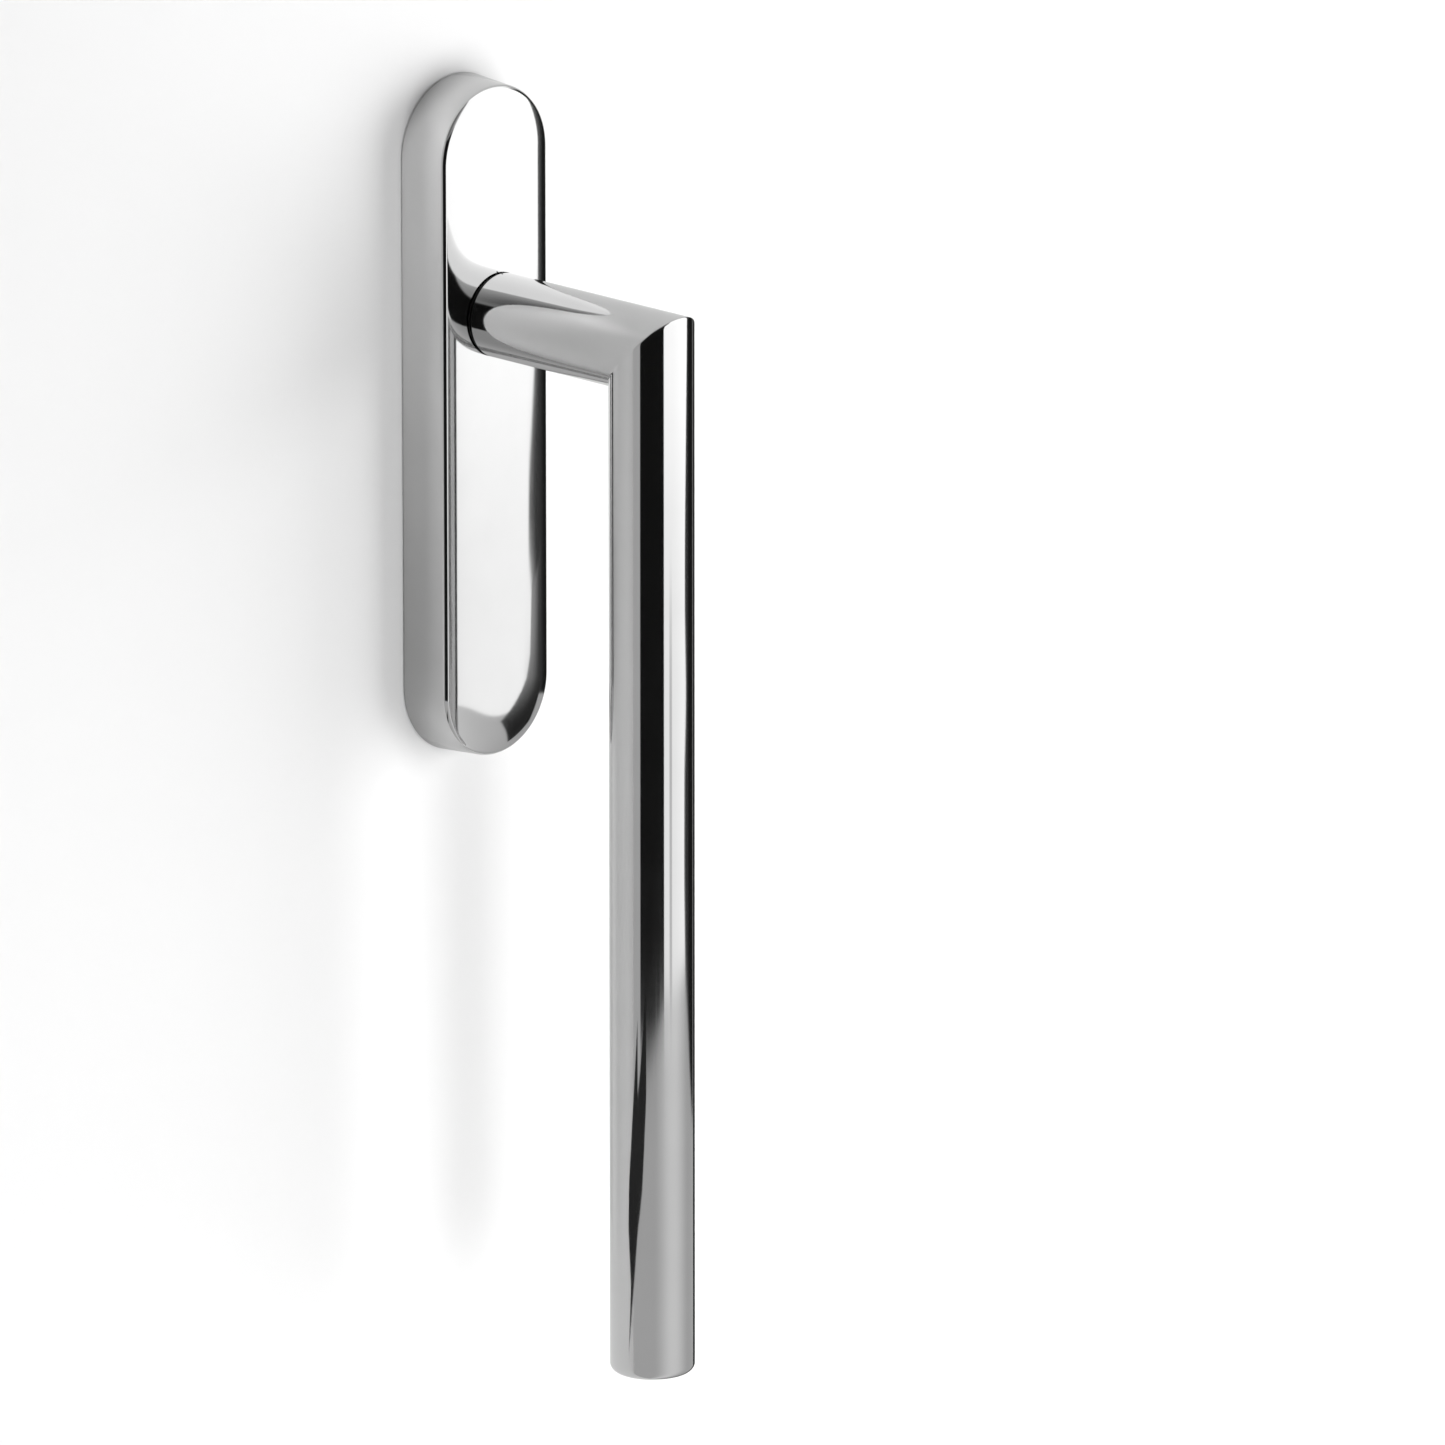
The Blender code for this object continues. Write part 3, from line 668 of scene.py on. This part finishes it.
def add_wall():
    """The door face: a pale sheet round the cover plate, seen from the front only.

    The polished steel sees it with painted shade, darker than the eye does, with painted light
    just left of the plate and painted shade far to the right.
    """
    material, tree = new_finish("door_face")
    path = tree.node("LightPath")
    mirrored = Value(tree, path.outputs["Is Glossy Ray"])
    place = tree.node("SeparateXYZ", None, [tree.coords()])
    across, height = Value(tree, place.outputs[0]), Value(tree, place.outputs[2])
    # painted shade: far to the right, the steel's reflections see the door painted dark
    painted_dark_far_right = across.between(0.10, 0.17)
    # painted light: a lighter patch just left of the plate, seen only in the steel's reflections
    lit = (across.between(-0.065, -0.020) * (1.0 - across.between(-0.02, 0.03))
           * height.between(-0.085, 0.035) * (1.0 - height.between(0.05, 0.075)))
    # painted shade and painted light in the door's colour: rays the steel mirrors see it darker,
    # darker still far right and lighter left of the plate
    shade = DOOR_PAINT - mirrored * (0.26 + 0.58 * painted_dark_far_right - 0.42 * lit)
    paint = tree.node("BsdfPrincipled", None, {
        "Base Color": tree.grey(shade), "Roughness": 1.0, "Specular IOR Level": 0.0}).outputs[0]
    back = tree.node("NewGeometry").outputs["Backfacing"]
    clear = tree.node("BsdfTransparent").outputs[0]
    tree.surface(tree.node("MixShader", None, [back, paint, clear]).outputs[0])

    bm = bmesh.new()
    inner = COVER_RADIUS - COVER_WALL
    verts = [bm.verts.new((inner, 0.0, TOP_CENTRE))]
    edges = []
    for centre, reach in ((TOP_CENTRE, BOTTOM_CENTRE), (BOTTOM_CENTRE, TOP_CENTRE)):
        bmesh.ops.spin(bm, geom=verts, cent=(0.0, 0.0, centre), axis=(0.0, -1.0, 0.0),
                       angle=pi, steps=HALF_STEPS)
        bm.verts.ensure_lookup_table()
        foot = bm.verts[-1]
        verts = [bm.verts.new((foot.co.x, 0.0, reach))]
        edges.append(bm.edges.new((foot, verts[0])))
    bmesh.ops.remove_doubles(bm, verts=bm.verts, dist=MERGE)
    made = bmesh.ops.extrude_edge_only(bm, edges=bm.edges[:])["geom"]
    for vert in (item for item in made if isinstance(item, bmesh.types.BMVert)):
        vert.co = vert.co.normalized() * DOOR_REACH
    wall = to_object("door_face", bm)
    wall.location.y = DOOR_PLACE
    wall.data.materials.append(material)
    if wall.data.polygons[0].normal.y > 0:
        wall.data.flip_normals()


def add_floor():
    material, tree = new_finish("pale_floor")
    cloud = tree.noise(300.0)
    tree.surface(tree.node("BsdfPrincipled", None, {
        "Base Color": tree.mix_color(cloud, grey(0.80), grey(0.83)),
        "Roughness": 0.6}).outputs[0])
    bm = bmesh.new()
    bmesh.ops.create_grid(bm, x_segments=2, y_segments=2, size=4000.0)
    floor = to_object("floor", bm)
    floor.location.z = FLOOR_HEIGHT
    floor.data.materials.append(material)
    floor.visible_glossy = False


def add_surround():
    """The studio that the steel mirrors: white, grey and dark screens round the handle.

    Bearings are in degrees from the door's normal, to the right; heights are in metres.
    """
    material, tree = new_finish("studio_screens")
    place = tree.node("SeparateXYZ", None, [tree.coords()])
    x, y, height = (Value(tree, place.outputs[number]) for number in range(3))
    side = x.math("ARCTAN2", -1.0 * y) * degrees(1.0)

    def outline(stops):
        """A bearing that changes with height, through (height, bearing) stops."""
        low, high = stops[0][0], stops[-1][0]
        span = [((level - low) / (high - low), bearing / 360.0 + 0.5) for level, bearing in stops]
        ramp = tree.value("ValToRGB", {"stops": span}, [(height - low) / (high - low)])
        return (ramp - 0.5) * 360.0

    def past(edge, soft):
        return (side - edge).between(-soft, soft)

    # Where each screen is: 1 on it, 0 beside it
    black_edge = outline([(-0.564, 112.0), (-0.540, 82.0), (-0.516, 66.0), (-0.492, 53.0),
                          (-0.459, 48.2), (-0.424, 48.9), (-0.413, 54.0), (-0.403, 56.6),
                          (-0.391, 53.8), (-0.379, 51.2), (-0.355, 51.8), (-0.316, 57.6),
                          (-0.295, 61.0)])
    dark_edge = outline([(-0.516, -57.8), (-0.489, -12.0), (-0.30, -12.0)])
    dark_left = (past(-73.5, 0.6) * (1.0 - past(dark_edge, 0.6))
                 * height.between(-0.520, -0.510) * (1.0 - height.between(0.52, 0.64)))
    black_right = past(black_edge, 0.5) * (1.0 - height.between(0.38, 0.5))
    white = past(-12.0, 0.4) * (1.0 - past(66.0, 1.0)) * height.between(-0.489, -0.480)
    stand = past(2.5, 0.6) * (1.0 - past(9.5, 0.6)) * (1.0 - height.between(-0.39, -0.35))
    high_up = height.between(0.45, 0.8)
    behind = y.between(0.0, 0.1)

    # How bright each one is
    low_grey = 0.50 + 0.30 * past(-15.0, 25.0) * (1.0 - past(40.0, 25.0))
    ceiling = 0.2 + 1.1 * side.between(-60.0, 40.0)
    card = 1.18 + 0.17 * past(30.0, 25.0) + 0.35 * height.between(-0.40, -0.25)
    low_down = 1.0 - height.between(-0.40, -0.36)
    glow = (1.0 - (side - black_edge).between(-1.0, 7.0)) * (1.0 - past(72.0, 6.0))
    black = 0.012 + 0.035 * (1.0 - past(66.0, 4.0)) + (0.10 + 0.28 * low_down) * glow

    def laid_over(level, screen, screen_level):
        return level * (1.0 - screen) + screen_level * screen

    level = laid_over(low_grey, high_up, ceiling)
    level = laid_over(level, white, card * (1.0 - 0.4 * stand))
    level = laid_over(level, black_right, black)
    level = laid_over(level, dark_left, 0.008)
    level = laid_over(level, behind, 0.6 + 0.4 * high_up)
    tree.surface(tree.node("Emission", None, {"Color": tree.grey(level)}).outputs[0])
    material.cycles.emission_sampling = "NONE"

    bm = bmesh.new()
    bmesh.ops.create_cone(bm, cap_ends=True, segments=SURROUND_STEPS, radius1=SURROUND_RADIUS,
                          radius2=SURROUND_RADIUS, depth=SURROUND_TOP - SURROUND_FOOT)
    bmesh.ops.translate(bm, vec=(0.0, 0.0, (SURROUND_TOP + SURROUND_FOOT) / 2), verts=bm.verts)
    surround = to_object("studio_screens", bm)
    surround.data.materials.append(material)
    only_mirrored(surround)


def only_mirrored(obj):
    """A stage piece that shows in the polished steel and nowhere else."""
    obj.visible_camera = False
    obj.visible_diffuse = False
    obj.visible_shadow = False
    obj.visible_transmission = False


def add_flags():
    """Two black cloths close to the handle, whose edges the steel mirrors.

    The right one is painted with light: a brighter patch and a painted glow near its upper inner
    corner, seen only in the steel's reflections.
    """
    material, tree = new_finish("black_cloth_painted_glow")
    place = tree.node("SeparateXYZ", None, [tree.coords()])
    across, height = Value(tree, place.outputs[0]), Value(tree, place.outputs[2])
    # painted light: a glow painted near the right flag's upper inner corner
    painted_glow = (1.0 - across.between(0.085, 0.128)) * height.between(-0.140, -0.100)
    lit = across.between(0.0, 0.05) * height.between(-0.150, -0.105)
    # painted light: the flag's glow is raised in its lit patch and more in the painted glow; the
    # noise is random tone
    level = 0.020 + 0.012 * tree.noise(40.0) + (0.04 + 0.36 * painted_glow) * lit
    tree.surface(tree.node("Emission", None, {"Color": tree.grey(level)}).outputs[0])
    outlines = {
        "right_flag": [(87, -74, -111), (71, -74, -120), (61.5, -74, -129), (94, -74, -167),
                       (140, -74, -167), (140, -74, -95), (92, -74, -95)],
        "left_flag": [(-150, -82, -219), (-150, -13.5, -244.5), (-150, -8.3, -256),
                      (-150, -9.7, -288), (-150, -31, -268.5), (-150, -82, -253.6),
                      (-150, -116, -245.3), (-150, -150, -226), (-150, -150, -200),
                      (-150, -82, -200)],
    }
    for name, points in outlines.items():
        bm = bmesh.new()
        verts = [bm.verts.new(point) for point in points]
        bmesh.ops.contextual_create(bm, geom=verts)
        flag = to_object(name, bm)
        flag.data.materials.append(material)
        only_mirrored(flag)


def add_softbox(name, side, rise, distance, size, energy):
    """A soft area light aimed at the handle; side and rise are its bearing in degrees."""
    direction = Vector((sin(radians(side)) * cos(radians(rise)),
                        -cos(radians(side)) * cos(radians(rise)), sin(radians(rise))))
    data = bpy.data.lights.new(name, "AREA")
    data.shape = "RECTANGLE"
    data.size, data.size_y = size
    data.energy = energy
    light = bpy.data.objects.new(name, data)
    target = Vector((0.0, 0.0, -0.1))
    light.location = target + direction * distance
    light.rotation_euler = (-direction).to_track_quat("-Z", "Y").to_euler()
    light.visible_camera = False
    light.visible_glossy = False
    bpy.context.scene.collection.objects.link(light)


def add_world():
    world = bpy.data.worlds.new("studio_air")
    tree = Tree(world)
    direct = Value(tree, tree.node("LightPath").outputs["Is Camera Ray"])
    air = tree.node("Background", None, {"Color": tree.grey(0.12 + 0.88 * direct)})
    tree.node("OutputWorld", None, {"Surface": air.outputs[0]})
    bpy.context.scene.world = world


STEEL = polished_steel()
ZINC = plated_steel("zinc_plate", (0.52, 0.53, 0.54, 1.0), (0.68, 0.69, 0.70, 1.0), 0.24)
SPRING = plated_steel("spring_steel", (0.26, 0.27, 0.30, 1.0), (0.42, 0.43, 0.46, 1.0), 0.22)
CAST = die_cast()
BLACK = moulded("black_plastic", (0.012, 0.012, 0.012, 1.0), (0.022, 0.022, 0.022, 1.0),
                0.32, 0.2, 0.01)
BEARING = moulded("bearing_plastic", (0.70, 0.69, 0.64, 1.0), (0.78, 0.77, 0.73, 1.0),
                  0.34, 0.3, 0.01)
RUBBER = moulded("gasket_rubber", (0.028, 0.028, 0.028, 1.0), (0.05, 0.05, 0.05, 1.0),
                 0.62, 0.35, 0.04)

add_camera()
make_cover(STEEL)
make_neck_ring(BLACK)
make_lever_tube(STEEL)
make_end_cap(STEEL)
for screw_name in ("fixing_screw_upper", "fixing_screw_lower"):
    make_fixing_screw(screw_name, ZINC)
make_spindle(ZINC)
make_gasket(RUBBER)
refinish(ZINC, "detent_keeper", "keeper_screw_upper", "keeper_screw_lower", "thrust_washer",
         "lever_hub", "spindle_set_screw", "detent_cam")
refinish(SPRING, "detent_spring_left", "detent_spring_right", "cover_clip_upper",
         "cover_clip_lower", "retaining_ring")
refinish(CAST, "base_plate")
refinish(BEARING, "bearing_bush")
add_wall()
add_floor()
add_surround()
add_flags()
add_world()
add_softbox("front_softbox", -3.0, -12.0, 1.4, (0.57, 0.9), 9.0)
add_softbox("right_softbox", 58.0, -4.0, 1.3, (1.7, 1.2), 25.0)
add_softbox("rear_softbox", 200.0, 25.0, 1.4, (1.0, 1.0), 14.0)
add_softbox("rear_ceiling", 180.0, 50.0, 3.2, (3.0, 3.0), 120.0)
bpy.context.scene.view_settings.view_transform = "Standard"
